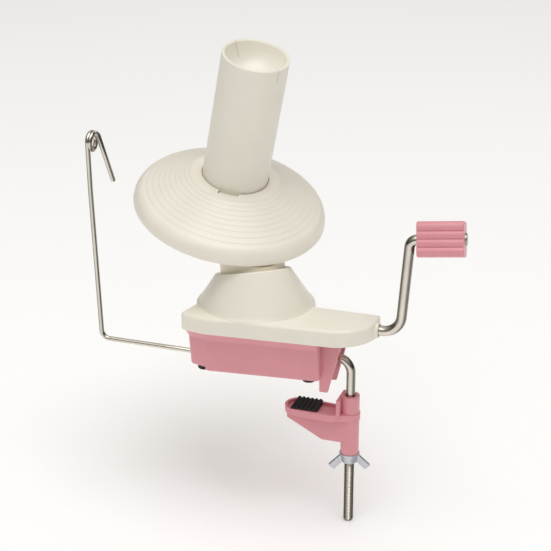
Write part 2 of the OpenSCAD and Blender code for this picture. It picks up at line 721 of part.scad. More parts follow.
module disc_profile() {
    steps = disc_steps;
    first = 27.2;
    step_w = (dome_r - 1.6 - first) / steps;
    step_h = 0.35;
    outer = concat([[hub_hole_r, disc_rise - 0.6], [hub_hole_r + 0.6, disc_rise],
            [25, disc_rise]],
        [for (k = [0:steps - 1]) let (r = first + k * step_w)
            each [[r, dome(r) + step_h], [r + 0.25, dome(r)]]],
        [[dome_r, dome_z]],
        [for (t = [60:-6:0]) [disc_r - rim_arc + rim_arc * cos(t),
            rim_z + rim_arc * sin(t)]],
        [[disc_r, -3.4], [disc_r - 0.6, -4]]);
    inner = [[disc_r - 2.2, -4], [disc_r - 2.4, rim_z], [disc_r - 4.4, 1.6],
        [47.2, dome(47.2) - 2.4], [47.2, 5.2], [44.4, 5.2], [44.4, dome(44.4) - 2.4],
        [25, disc_rise - 2.6], [24, disc_rise - 2.6], [24, 10.2], [14, 10.2], [14, 7.8],
        [hub_hole_r + 5.4, 7.8], [hub_hole_r + 5.4, 7.8]];
    polygon(concat(outer, [[disc_r - 2.2, -4], [disc_r - 2.4, rim_z], [disc_r - 4.6, 1.9],
        [48.4, dome(48.4) - 2.5], [47.2, dome(47.2) - 2.5], [47.2, 5.2], [44.4, 5.2],
        [44.4, dome(44.4) - 2.5], [26, dome(26) - 2.5], [23.4, disc_rise - 3.4], [23.4, 8.2],
        [12, 8.2], [12, 10.6], [hub_hole_r, 10.6]]));
}

module disc() color(ivory) {
    spool_frame() difference() {
        rotate_extrude($fn = 96) disc_profile();
        // Notch for the spindle's lug
        rotate([0, 0, 327]) translate([0, -6, 10.6]) cube([23.4, 12, 20]);
    }
}

module ring_gear() color(nylon) {
    half_add = atan(0.7 * sun_module / spool_cone);
    half_ded = atan(1.0 * sun_module / spool_cone);
    root = ring_half + half_ded;
    tip = ring_half - half_add;
    pitch = 360 / ring_teeth;
    in = spool_cone - spool_face;
    low = disc_drop - spool_cone * cos(root);
    spool_frame() {
        rotate_extrude($fn = 96) polygon([
            [spool_cone * sin(root), low], [in * sin(root), disc_drop - in * cos(root)],
            [in * sin(root), 9.0], [44.2, 7.2], [44.2, 5.1], [47, 5.1], [47, low]]);
        translate([0, 0, disc_drop]) rotate([180, 0, 0])
            for (k = [0:ring_teeth - 1]) rotate([0, 0, (k + 0.5) * pitch])
                tooth(root + 1.0, tip, pitch * 0.30, pitch * 0.15, in + 0.4, spool_cone - 0.3);
    }
}

module spindle() color(ivory) {
    top = spindle_top;
    bore = stub_d / 2 + 0.08;
    spool_frame() difference() {
        union() {
            // Plain wall above the disc's collar, and a slightly smaller root inside it
            translate([0, 0, 20.2]) ring(spindle_r, spindle_r - wall, top - 20.2);
            translate([0, 0, 10.7]) ring(spindle_r - 0.25, spindle_r - wall, 9.6);
            // Bearing webs at both ends
            translate([0, 0, 10.7]) cylinder(r = spindle_r - 0.5, h = 3);
            translate([0, 0, 8.3]) cylinder(r = 7.4, h = 22);
            translate([0, 0, top - 24]) cylinder(r = spindle_r - 0.5, h = 3);
            translate([0, 0, top - 36]) cylinder(r = 7.4, h = 18);
            // Lug that locks in the disc's notch
            rotate([0, 0, 327]) translate([0, -5.6, 10.7]) cube([22.9, 11.2, 5]);
        }
        translate([0, 0, 0]) cylinder(r = bore, h = top + 10);
        difference() {
            translate([0, 0, 13.7]) cylinder(r = spindle_r - wall, h = top - 24 - 13.7);
            translate([0, 0, 8]) cylinder(r = 7.4, h = 22.3);
            translate([0, 0, top - 36]) cylinder(r = 7.4, h = 40);
        }
        // Slits that catch the yarn's end
        rotate([0, 0, 19]) translate([-30, -0.6, top - 8]) cube([60, 1.2, 10]);
    }
}

module spindle_cup() color(ivory) {
    top = spindle_top;
    r = spindle_r - wall;
    spool_frame() difference() {
        rotate_extrude() polygon(concat([[0, top - 13.6], [5, top - 13.4]],
            [for (k = [0:8]) let (t = k / 8) [5 + (r - 5) * t, top - 13.4 + 10 * pow(t, 2.2)]],
            [[r, top - 0.3]],
            [for (k = [8:-1:0]) let (t = k / 8)
                [5 + (r - 6) * t, top - 11.8 + 11 * pow(t, 2.2)]], [[0, top - 11.9]]));
        rotate([0, 0, 19]) translate([-30, -0.6, top - 8]) cube([60, 1.2, 10]);
    }
}

module spindle_screw() color(steel) {
    spool_frame() translate([0, 0, spindle_top - 16]) difference() {
        union() {
            translate([0, 0, -6]) cylinder(r = 1.5, h = 7);
            cylinder(r = 4.9, h = 0.5);
            translate([0, 0, 0.5]) cylinder(r = 2.7, h = 1.5);
        }
        translate([-1.8, -0.35, 1.2]) cube([3.6, 0.7, 2]);
    }
}

// ---------------------------------------------------------------- guide wire

module guide_wire() color(steel) {
    r = wire_d / 2;
    bend_r = 5;
    foot_x = wire_x + bend_r;
    eye_x = wire_x - (eye_z - guide_z) * tan(guide_lean);
    bar([-60.7, guide_y, guide_z], [foot_x, guide_y, guide_z], r);
    translate([foot_x, guide_y, guide_z]) mirror([1, 0, 0]) bend(bend_r, 90 - guide_lean, r);
    bar([wire_x + 0.1, guide_y, guide_z + bend_r * (1 - sin(guide_lean))],
        [eye_x, guide_y - 0.2, eye_z], r);
    // Eye: one turn across the yarn's path
    eye_y = guide_y - 0.2 + eye_r;
    translate([eye_x + 0.9, eye_y, eye_z]) rotate([0, 90, 0])
        rotate_extrude() translate([eye_r, 0]) circle(r = r);
    // Free end that leads the yarn in
    translate([eye_x + 0.9, eye_y, eye_z + eye_r]) rotate([0, 90, 0]) cylinder(r = r, h = 1.6);
    translate([eye_x + 2.5, eye_y, eye_z + eye_r]) {
        mirror([0, 0, 1]) bend(2.4, 69, r);
        translate([0, 0, -2.4]) rotate([0, 69, 0]) translate([0, 0, 2.4]) rotate([0, 90, 0])
            cylinder(r = r, h = 25.6);
    }
}

// Press-on ring that keeps the wire from being pulled out of its block
module wire_collar() color(zinc) {
    translate([-61.9, guide_y, guide_z]) rotate([0, 90, 0]) ring(2.2, wire_d / 2, 1);
}

tray();
cover();
rubber_feet();
cover_screws();
clamp_rod();
rod_nut();
clamp_jaw();
jaw_pad();
clamp_washer();
wing_nut();
crank_rod();
crank_bushes();
crank_gear();
gear_pin();
grip();
grip_cap();
centre_post();
thrust_washer();
rotor();
rotor_pinion();
sun_gear();
sun_screw();
stub_shaft();
disc();
ring_gear();
spindle();
spindle_cup();
spindle_screw();
guide_wire();
wire_collar();
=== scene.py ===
"""Yarn ball winder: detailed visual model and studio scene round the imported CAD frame."""

import json
import math

import bpy
import bmesh
from mathutils import Matrix, Vector


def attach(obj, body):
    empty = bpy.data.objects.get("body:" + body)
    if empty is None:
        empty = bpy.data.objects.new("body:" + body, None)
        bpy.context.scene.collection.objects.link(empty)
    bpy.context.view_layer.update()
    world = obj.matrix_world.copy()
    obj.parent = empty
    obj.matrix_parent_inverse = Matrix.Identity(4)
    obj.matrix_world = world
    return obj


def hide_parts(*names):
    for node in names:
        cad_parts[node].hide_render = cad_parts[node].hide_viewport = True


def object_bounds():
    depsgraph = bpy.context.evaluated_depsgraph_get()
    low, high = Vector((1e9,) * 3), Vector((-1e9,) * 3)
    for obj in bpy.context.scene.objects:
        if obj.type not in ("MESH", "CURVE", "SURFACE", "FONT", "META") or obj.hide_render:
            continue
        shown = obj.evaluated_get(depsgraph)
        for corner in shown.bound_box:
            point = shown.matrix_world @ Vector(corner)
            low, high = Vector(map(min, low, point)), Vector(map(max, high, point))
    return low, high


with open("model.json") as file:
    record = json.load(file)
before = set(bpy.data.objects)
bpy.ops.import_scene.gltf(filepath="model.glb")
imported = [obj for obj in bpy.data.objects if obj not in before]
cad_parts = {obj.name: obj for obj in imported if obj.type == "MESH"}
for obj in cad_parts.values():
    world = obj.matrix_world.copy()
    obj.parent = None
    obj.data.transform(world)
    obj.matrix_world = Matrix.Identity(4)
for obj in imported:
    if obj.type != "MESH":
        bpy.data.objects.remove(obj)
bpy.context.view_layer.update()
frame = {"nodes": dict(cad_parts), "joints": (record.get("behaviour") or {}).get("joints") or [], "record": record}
NODES = frame["nodes"]
JOINTS = {j["name"]: j for j in frame["joints"]}
MM = 0.001

# Driving sizes of the visible shells, in millimetres. They are the CAD's, except that the cone's foot,
# the skirt's circle, the disc's collar and rim, the grip, the wire and the slits differ slightly.
COVER_TOP = 38.5
SKIRT_BOTTOM = 28.5
CONE_XY = (-44.7, 6.5)
CONE_BASE_R = 32.75
CONE_BASE_WIDER_X = 1.9
CONE_RIM_R = 22.0
CONE_RIM_H = 25.65
SKIRT_CONE_R = 35.0
FAR_EDGE_Y = 9.6
SPINDLE_R = 19.4
SPINDLE_TOP = 101.0
DISC_R = 57.8
DISC_RISE = 20.9
KEY_ANGLE = 327
SLIT_ANGLE = 19
SLIT_HALF = 0.16
SLIT_DEPTH = 8
WALL = 2.2
PRONG_FOOT = 5.0
PRONG_SLOPE = 0.244
PRONG_BOTTOM = -6.1
FOOT_GAP = 2.5
CRANK_Z = 33.0
ROD_X = 16.0
ROD_Z = 12.7
GUIDE_Y = -5.0
GUIDE_Z = 5.4

# ------------------------------------------------------------------ frames


def unit(values):
    return Vector(values).normalized()


def axes_matrix(x, y, z, origin):
    m = Matrix.Identity(4)
    for col, v in enumerate((x, y, z, origin)):
        for row in range(3):
            m[row][col] = v[row]
    return m


rotor_axis = unit(JOINTS["rotor_turn"]["axis"])
spool_axis = unit(JOINTS["spool_turn"]["axis"])
side_axis = rotor_axis.cross(spool_axis).normalized()
SPOOL = axes_matrix(
    side_axis.cross(spool_axis), side_axis, spool_axis,
    Vector(JOINTS["spool_turn"]["pos_m"]),
)
WORLD = Matrix.Identity(4)


def pin_matrix():
    """Frame at the start of the grip's pin: +Z along the pin."""
    def turn(deg, axis):
        return Matrix.Rotation(math.radians(deg), 4, axis)

    def go(x, y, z):
        return Matrix.Translation(Vector((x, y, z)) * MM)

    return (
        go(34, 0, CRANK_Z) @ go(0, 0, 11) @ turn(-(90 - 4.2), "Y") @ go(0, 0, -11)
        @ go(43, 0, 0) @ turn(8, "X") @ go(0, 0, -4.8) @ turn(81.4, "Y")
        @ go(0, 0, 4.8) @ turn(90, "Y")
    )


PIN = pin_matrix()

# ------------------------------------------------------------------ meshes


def new_object(name, verts, faces, matrix=WORLD, smooth_deg=35.0):
    """Mesh from vertices in millimetres in the frame of matrix."""
    mesh = bpy.data.meshes.new(name)
    mesh.from_pydata([matrix @ (Vector(v) * MM) for v in verts], [], faces)
    bm = bmesh.new()
    bm.from_mesh(mesh)
    bmesh.ops.remove_doubles(bm, verts=bm.verts, dist=1e-7)
    bmesh.ops.recalc_face_normals(bm, faces=bm.faces)
    bm.to_mesh(mesh)
    bm.free()
    obj = bpy.data.objects.new(name, mesh)
    bpy.context.scene.collection.objects.link(obj)
    shade(obj, smooth_deg)
    return obj


def shade(obj, smooth_deg):
    """Smooth faces, with edges sharper than the angle kept crisp."""
    mesh = obj.data
    mesh.polygons.foreach_set("use_smooth", [True] * len(mesh.polygons))
    bm = bmesh.new()
    bm.from_mesh(mesh)
    limit = math.radians(smooth_deg)
    for edge in bm.edges:
        edge.smooth = not (len(edge.link_faces) == 2 and edge.calc_face_angle(0) > limit)
    bm.to_mesh(mesh)
    bm.free()


def loft(name, rings, matrix=WORLD, closed=True, cap=True, smooth_deg=35.0):
    """Skin over rings that have the same number of points."""
    n = len(rings[0])
    verts = [p for r in rings for p in r]
    faces = []
    for j in range(len(rings) - 1):
        for i in range(n if closed else n - 1):
            a, b = j * n + i, j * n + (i + 1) % n
            faces.append((a, b, b + n, a + n))
    if cap:
        faces.append(tuple(range(n - 1, -1, -1)))
        last = (len(rings) - 1) * n
        faces.append(tuple(range(last, last + n)))
    return new_object(name, verts, faces, matrix, smooth_deg)


def lathe(name, profile, matrix, steps=128, smooth_deg=35.0):
    """Closed profile of (radius, height) turned round the Z axis of matrix."""
    verts, faces = [], []
    n = len(profile)
    for k in range(steps):
        t = 2 * math.pi * k / steps
        verts += [(r * math.cos(t), r * math.sin(t), z) for r, z in profile]
    for k in range(steps):
        for i in range(n):
            a, b = k * n + i, k * n + (i + 1) % n
            c, d = (k + 1) % steps * n + (i + 1) % n, (k + 1) % steps * n + i
            faces.append((a, b, c, d))
    obj = new_object(name, verts, faces, matrix, smooth_deg)
    bm = bmesh.new()
    bm.from_mesh(obj.data)
    bmesh.ops.dissolve_degenerate(bm, edges=bm.edges, dist=1e-7)
    bm.to_mesh(obj.data)
    bm.free()
    return obj


def tube(name, points, radius, matrix=WORLD, sides=24, radii=None):
    """Round rod along a path, with its radius set point by point when radii are given."""
    pts = [Vector(p) for p in points]
    radii = radii or [radius] * len(pts)
    tangents = []
    for i, _ in enumerate(pts):
        a, b = pts[max(i - 1, 0)], pts[min(i + 1, len(pts) - 1)]
        tangents.append((b - a).normalized())
    side = tangents[0].orthogonal().normalized()
    rings = []
    for p, t, r in zip(pts, tangents, radii):
        side = (side - t * side.dot(t)).normalized()
        up = t.cross(side)
        rings.append([
            p + r * (math.cos(2 * math.pi * k / sides) * side
                     + math.sin(2 * math.pi * k / sides) * up)
            for k in range(sides)
        ])
    return loft(name, rings, matrix, smooth_deg=50)


def rounded_ends(points, radius, chamfer=0.5):
    """Path and radii with a small chamfer at both ends."""
    pts = [Vector(p) for p in points]
    first = (pts[1] - pts[0]).normalized()
    last = (pts[-1] - pts[-2]).normalized()
    path = [pts[0], pts[0] + first * chamfer] + pts[1:-1] + [pts[-1] - last * chamfer, pts[-1]]
    small = radius - chamfer
    return path, [small, radius] + [radius] * (len(pts) - 2) + [radius, small]


def bend_points(start, direction, towards, radius, degrees, steps=12):
    """Arc that leaves start along direction and turns towards another direction."""
    d, u = Vector(direction).normalized(), Vector(towards).normalized()
    u = (u - d * u.dot(d)).normalized()
    centre = Vector(start) + u * radius
    out = []
    for k in range(1, steps + 1):
        t = math.radians(degrees) * k / steps
        out.append(centre - u * radius * math.cos(t) + d * radius * math.sin(t))
    t = math.radians(degrees)
    return out, d * math.cos(t) + u * math.sin(t)


def box(name, lo, hi, matrix=WORLD, bevel=0.5):
    x0, y0, z0 = lo
    x1, y1, z1 = hi
    ring0 = [(x0, y0, z0), (x1, y0, z0), (x1, y1, z0), (x0, y1, z0)]
    ring1 = [(x, y, z1) for x, y, _ in ring0]
    obj = loft(name, [ring0, ring1], matrix)
    if bevel:
        soften(obj, bevel)
    return obj


def soften(obj, width, segments=3, angle=35):
    """Rounded edges with even shading."""
    mod = obj.modifiers.new("edges", "BEVEL")
    mod.width = width * MM
    mod.segments = segments
    mod.limit_method = "ANGLE"
    mod.angle_limit = math.radians(angle)
    mod.harden_normals = False
    for poly in obj.data.polygons:
        poly.use_smooth = True
    weighted = obj.modifiers.new("normals", "WEIGHTED_NORMAL")
    weighted.keep_sharp = False
    return obj


def plate(name, outline, y0, y1, matrix=WORLD, bevel=0.5):
    """Side view given as (x, z) points, extruded along Y."""
    obj = loft(name, [[(x, y0, z) for x, z in outline], [(x, y1, z) for x, z in outline]],
               matrix)
    if bevel:
        soften(obj, bevel)
    return obj


def cut(obj, tool):
    """Subtracts tool from obj for good, and removes tool."""
    mod = obj.modifiers.new("cut", "BOOLEAN")
    mod.operation = "DIFFERENCE"
    mod.solver = "EXACT"
    mod.object = tool
    apply_modifiers(obj)
    bpy.data.objects.remove(tool)


def add(obj, tool):
    """Joins tool to obj for good, and removes tool."""
    mod = obj.modifiers.new("add", "BOOLEAN")
    mod.operation = "UNION"
    mod.solver = "EXACT"
    mod.object = tool
    apply_modifiers(obj)
    bpy.data.objects.remove(tool)


def apply_modifiers(obj):
    bpy.context.view_layer.update()
    deps = bpy.context.evaluated_depsgraph_get()
    mesh = bpy.data.meshes.new_from_object(obj.evaluated_get(deps))
    obj.modifiers.clear()
    obj.data = mesh


# ------------------------------------------------------------------ materials


def srgb(r, g, b):
    def channel(v):
        v /= 255
        return v / 12.92 if v <= 0.04045 else ((v + 0.055) / 1.055) ** 2.4
    return (channel(r), channel(g), channel(b), 1)


def paint_reflection_bands(nodes, links, tone, shader, bands):
    """Paints light and dark bands into the base colour by the way a surface faces.

    They stand in for reflections. They do not come from the shader or the lights, and they do not
    turn with the part, because they follow a fixed direction in the world.
    """
    geometry = nodes.new("ShaderNodeNewGeometry")
    across = nodes.new("ShaderNodeVectorMath")
    across.operation = "DOT_PRODUCT"
    across.inputs[1].default_value = PAINTED_REFLECTION_DIRECTION
    links.new(geometry.outputs["Normal"], across.inputs[0])
    spread = nodes.new("ShaderNodeMapRange")
    spread.inputs["From Min"].default_value = -1
    links.new(across.outputs["Value"], spread.inputs["Value"])
    ramp = nodes.new("ShaderNodeValToRGB")
    while len(ramp.color_ramp.elements) < len(bands):
        ramp.color_ramp.elements.new(1.0)
    for stop, (place, level) in zip(ramp.color_ramp.elements, bands):
        stop.position = place
        stop.color = (level, level, level, 1)
    links.new(spread.outputs["Result"], ramp.inputs["Fac"])
    mix = nodes.new("ShaderNodeMix")
    mix.data_type = "RGBA"
    mix.blend_type = "MULTIPLY"
    mix.inputs["Factor"].default_value = 1.0
    links.new(tone.outputs["Color"], mix.inputs["A"])
    links.new(ramp.outputs["Color"], mix.inputs["B"])
    links.new(mix.outputs["Result"], shader.inputs["Base Color"])


# Direction that the painted reflection bands follow, close to the camera's sideways axis, so the bands are right
# only from about the main view
PAINTED_REFLECTION_DIRECTION = (0.927, 0.319, -0.197)
# Painted reflection bands: place across a rod from one side to the other, and level, from dark to light
PAINTED_REFLECTION_BANDS = ((0.0, 0.3), (0.12, 0.22), (0.24, 0.75), (0.4, 1.0), (0.56, 0.85), (0.68, 0.3),
                (0.84, 0.2), (1.0, 0.6))


def material(name, colour, rough, metal=0.0, mottle=0.03, mottle_scale=60.0, bump=0.02,
             bump_scale=900.0, coat=0.0, stretch=None, rough_swing=0.06, sss=0.0, bands=None):
    """Principled finish with a slow change of tone, uneven gloss and a fine surface grain, and painted reflection
    bands in the base colour when bands are given.
    """
    mat = bpy.data.materials.new(name)
    mat.use_nodes = True
    nodes, links = mat.node_tree.nodes, mat.node_tree.links
    shader = nodes["Principled BSDF"]
    shader.inputs["Metallic"].default_value = metal
    shader.inputs["Coat Weight"].default_value = coat
    shader.inputs["Coat Roughness"].default_value = 0.15
    shader.inputs["Subsurface Weight"].default_value = sss
    shader.inputs["Subsurface Radius"].default_value = (0.004, 0.003, 0.002)
    shader.inputs["Subsurface Scale"].default_value = 0.6
    coords = nodes.new("ShaderNodeTexCoord")
    mapping = nodes.new("ShaderNodeMapping")
    mapping.inputs["Scale"].default_value = stretch or (1, 1, 1)
    links.new(coords.outputs["Object"], mapping.inputs["Vector"])

    def noise(scale, detail):
        node = nodes.new("ShaderNodeTexNoise")
        node.inputs["Scale"].default_value = scale
        node.inputs["Detail"].default_value = detail
        links.new(mapping.outputs["Vector"], node.inputs["Vector"])
        return node

    tone = nodes.new("ShaderNodeValToRGB")
    tone.color_ramp.elements[0].position = 0.35
    tone.color_ramp.elements[1].position = 0.68
    tone.color_ramp.elements[0].color = [c * (1 - mottle) for c in colour[:3]] + [1]
    tone.color_ramp.elements[1].color = [min(1, c * (1 + mottle)) for c in colour[:3]] + [1]
    links.new(noise(mottle_scale, 3).outputs["Fac"], tone.inputs["Fac"])
    links.new(tone.outputs["Color"], shader.inputs["Base Color"])
    # Painted reflections: light and dark bands multiplied into the base colour
    if bands:
        paint_reflection_bands(nodes, links, tone, shader, bands)
    gloss = nodes.new("ShaderNodeMapRange")
    gloss.inputs["To Min"].default_value = max(0.02, rough - rough_swing)
    gloss.inputs["To Max"].default_value = rough + rough_swing
    links.new(noise(mottle_scale * 2.3, 4).outputs["Fac"], gloss.inputs["Value"])
    links.new(gloss.outputs["Result"], shader.inputs["Roughness"])
    grain = nodes.new("ShaderNodeBump")
    grain.inputs["Strength"].default_value = bump
    grain.inputs["Distance"].default_value = 0.0002
    links.new(noise(bump_scale, 2).outputs["Fac"], grain.inputs["Height"])
    links.new(grain.outputs["Normal"], shader.inputs["Normal"])
    return mat


MATERIALS = {
    "ivory_plastic": material("ivory_moulding", srgb(241, 236, 223), 0.36, mottle=0.012,
                              bump=0.05, coat=0.15, sss=0.12),
    "pink_plastic": material("pink_moulding", srgb(227, 153, 161), 0.38, mottle=0.02,
                             bump=0.05, coat=0.12, sss=0.08),
    # Nickel plate and zinc get painted reflections: light and dark bands multiplied into the base colour, weaker
    # on zinc
    "plated_steel": material("nickel_plate_painted_reflections", srgb(222, 215, 203), 0.2, metal=1.0,
                             mottle=0.05, bump=0.04, bump_scale=1500, rough_swing=0.06,
                             bands=PAINTED_REFLECTION_BANDS),
    "zinc": material("zinc_casting_painted_reflections", srgb(206, 210, 216), 0.36, metal=0.9, mottle=0.08,
                     bump=0.2, bump_scale=2500, rough_swing=0.1,
                     bands=[(place, 0.45 + 0.55 * level) for place, level in PAINTED_REFLECTION_BANDS]),
    "black_rubber": material("black_rubber", srgb(26, 26, 28), 0.62, mottle=0.2,
                             bump=0.25, bump_scale=1800),
    # Warmer copy of the ivory, which paints the warm bounce light on the rotor's neck
    "ivory_painted_warm_bounce": material("ivory_painted_warm_bounce", srgb(249, 240, 218), 0.4, mottle=0.012, bump=0.05,
                           sss=0.12),
    "nylon": material("nylon", srgb(226, 224, 214), 0.45, mottle=0.02, sss=0.1),
}


def finish_piece(obj, slot, body, *replaced):
    obj.data.materials.clear()
    obj.data.materials.append(MATERIALS[slot])
    for poly in obj.data.polygons:
        poly.material_index = 0
    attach(obj, body)
    if replaced:
        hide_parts(*replaced)
    return obj


# ------------------------------------------------------------------ cover


def arc(cx, cy, r, a0, a1, steps):
    return [(cx + r * math.cos(math.radians(a0 + (a1 - a0) * k / steps)),
             cy + r * math.sin(math.radians(a0 + (a1 - a0) * k / steps)))
            for k in range(steps + 1)]


def tangent_angle(a, b):
    """Angle of the outer tangent's normal from circle a to circle b, on the right side."""
    (ax, ay, ar), (bx, by, br) = a, b
    d = math.hypot(bx - ax, by - ay)
    return math.degrees(math.atan2(by - ay, bx - ax) - math.acos((ar - br) / d))


def cover_outline(inset):
    """Plan of the cover: near side as a taut band, straight far edge, then the cone's circle."""
    corner = (-75.2, -21.8, 5.0)
    shoulder = (-64.5, -16.7, 12.0)
    nose = (6.2, 2.2, 25.0)
    a0 = tangent_angle(corner, shoulder)
    a1 = tangent_angle(shoulder, nose)
    far = FAR_EDGE_Y - inset
    stop = math.degrees(math.asin((far - nose[1]) / (nose[2] - inset)))
    cone_r = SKIRT_CONE_R - inset
    start = math.degrees(math.asin((far - CONE_XY[1]) / cone_r))
    points = arc(*corner[:2], corner[2] - inset, 197 - inset, 360 + a0, 8)
    points += arc(*shoulder[:2], shoulder[2] - inset, a0, a1, 4)
    points += arc(*nose[:2], nose[2] - inset, a1, stop, 28)
    points += arc(*CONE_XY, cone_r, start, 204 + inset, 72)
    return points


def at(points, z):
    return [(x, y, z) for x, y in points]


fillet = 2.2
rings = [at(cover_outline(WALL), COVER_TOP - WALL), at(cover_outline(WALL), SKIRT_BOTTOM),
         at(cover_outline(0.3), SKIRT_BOTTOM), at(cover_outline(0), SKIRT_BOTTOM + 0.3)]
for k in range(7):
    t = math.radians(15 * k)
    rings.append(at(cover_outline(fillet * (1 - math.cos(t))),
                    COVER_TOP - fillet + fillet * math.sin(t)))
cover = loft("cover_shell", rings, smooth_deg=40)


def cone_ring(u, inset=0.0, steps=128):
    """Ring at a fraction u between the flat top's circle and the tilted rim."""
    out = []
    turn = math.atan2(rotor_axis.y, rotor_axis.x)
    tilt = math.acos(rotor_axis.z)
    level = Matrix.Rotation(turn, 3, "Z") @ Matrix.Rotation(tilt, 3, "Y")
    centre = Vector(JOINTS["rotor_turn"]["pos_m"]) / MM + rotor_axis * CONE_RIM_H
    for k in range(steps):
        t = 2 * math.pi * k / steps
        low = Vector((CONE_XY[0] + (CONE_BASE_R + CONE_BASE_WIDER_X - inset) * math.cos(t),
                      CONE_XY[1] + (CONE_BASE_R - inset) * math.sin(t), COVER_TOP - 1.0))
        rim = (CONE_RIM_R - inset) * Vector((math.cos(t - turn), math.sin(t - turn), 0))
        out.append(low.lerp(centre + level @ rim, u))
    return out


cone_rings = [cone_ring(0, -0.5), cone_ring(0.04, -0.5), cone_ring(0.055, -0.32),
              cone_ring(0.075, -0.15), cone_ring(0.1, -0.04), cone_ring(0.14), cone_ring(0.4),
              cone_ring(0.7), cone_ring(0.96), cone_ring(0.985)]
cone_rings += [[p + rotor_axis * lift for p in cone_ring(1.0, inset)] for inset, lift in
               ((0.12, -0.12), (0.45, 0.02), (2.2, 0.02), (2.6, -0.35), (2.7, -3.6))]
cone = loft("cone", cone_rings, smooth_deg=50)
finish_piece(cone, "ivory_plastic", "base")
# Crank boss: a small funnel at the end of the arm
boss = lathe("crank_boss", [(3.4, 0), (3.4, 2.6), (3.7, 2.9), (4.2, 2.9), (4.5, 2.6), (4.8, 0)],
             Matrix.Translation(Vector((29.3, 0, CRANK_Z)) * MM)
             @ Matrix.Rotation(math.radians(90), 4, "Y"), steps=64)
finish_piece(cover, "ivory_plastic", "base", "cover")
finish_piece(boss, "ivory_plastic", "base")

# ------------------------------------------------------------------ tray

TRAY_LOW = [(-72.2, -16.2, 4.5), (-63.5, -14.8, 8.0), (-1.2, -13.8, 2.4), (-1.2, 4.2, 2.4),
            (*CONE_XY, 26.0)]
TRAY_HIGH = [(-75.2, -21.8, 4.0), (-64.5, -16.7, 11.0), (-1.2, -20.2, 2.4),
             (-1.2, 4.2, 2.4), (*CONE_XY, 30.6)]
TRAY_STEPS = (10, 6, 10, 6, 64)


def tray_outline(t, inset):
    """Plan of the tray a fraction t of the way from its floor to its upper edge."""
    circles = [tuple(a + (b - a) * t for a, b in zip(lo, hi))
               for lo, hi in zip(TRAY_LOW, TRAY_HIGH)]
    circles = [(x, y, r - inset) for x, y, r in circles]
    n = len(circles)
    points = []
    for i, c in enumerate(circles):
        a0 = (178 if i == 0 else 3 - 2 * inset if i == n - 1
              else tangent_angle(circles[i - 1], c))
        a1 = (205 + inset if i == n - 1 else 90 if i == n - 2
              else tangent_angle(c, circles[(i + 1) % n]))
        points += arc(c[0], c[1], c[2], a0, a0 + (a1 - a0) % 360, TRAY_STEPS[i])
    return points


def tray_level(z, flare_from=22.8, flare_to=28.4):
    """Fraction of the flare at a height: a slight draft, then a soft outward curve."""
    if z <= flare_from:
        return 0.3 * (z - FOOT_GAP) / (flare_from - FOOT_GAP)
    s = (z - flare_from) / (flare_to - flare_from)
    return 0.3 + 0.7 * (0.75 * s + 0.25 * s * s)


tray_rings = [at(tray_outline(0.03, WALL), FOOT_GAP + WALL),
              at(tray_outline(0.3, WALL), 23), at(tray_outline(1, 2.6), 27.4),
              at(tray_outline(1, 2.6), 30.4), at(tray_outline(1, 1.4), 30.4),
              at(tray_outline(1, 1.4), 28.4), at(tray_outline(1, 0.3), 28.4),
              at(tray_outline(1, 0), 28.15)]
for z in (27, 25.8, 24.6, 23.6, 22.8, 22.0, 17, 10, 4.2):
    tray_rings.append(at(tray_outline(tray_level(z), 0), z))
for k in range(1, 5):
    t = math.radians(22.5 * k)
    tray_rings.append(at(tray_outline(0, 1.2 * (1 - math.cos(t))),
                         FOOT_GAP + 1.2 - 1.2 * math.sin(t)))
tray = loft("tray_shell", tray_rings, smooth_deg=45)
cut(tray, box("ledge_cut", (-100, -60, -5), (-66, 60, 5.0), bevel=0))
shade(tray, 35)
finish_piece(tray, "pink_plastic", "base", "tray")

ledge = loft("ledge", [at([p for p in tray_outline(0.03, 0.9) if p[0] < -63], z)
                       for z in (5.0, 7.2)])
finish_piece(ledge, "pink_plastic", "base")


def prong_x(z, back=0.0):
    return PRONG_FOOT + PRONG_SLOPE * (z - PRONG_BOTTOM) - back


prong = [(0, PRONG_BOTTOM), (PRONG_FOOT, PRONG_BOTTOM), (prong_x(28.2), 28.2), (-1.8, 28.2),
         (-1.8, FOOT_GAP + 0.3), (0, FOOT_GAP + 0.3)]
for tag, y0 in (("near", -11.0), ("far", 6.7)):
    finish_piece(plate(f"prong_{tag}", prong, y0, y0 + 2.5, bevel=0.5), "pink_plastic", "base")
nose = [(-1.8, FOOT_GAP + 0.2), (prong_x(FOOT_GAP, 1.8), FOOT_GAP + 0.2),
        (prong_x(28.2, 1.8), 28.2), (prong_x(28.2, 4.0), 28.2), (prong_x(4.7, 3.9), 4.9),
        (-1.8, 4.9)]
finish_piece(plate("nose_wall", nose, -10, 8.2, bevel=0.4), "pink_plastic", "base")
clip = [p for p in cover_outline(2.3) if p[0] > -3]
tongue = loft("tongue", [at(clip, z) for z in (28.2, 30.2)])
soften(tongue, 0.3)
finish_piece(tongue, "pink_plastic", "base")

# ------------------------------------------------------------------ winding head

dome_r, rim_arc, rim_z = 51.8, 9.8, -2.3
dome_z = rim_z + rim_arc * math.sin(math.radians(66))


def dome(r):
    return dome_z + (DISC_RISE - dome_z) * (dome_r - r) / (dome_r - 25)


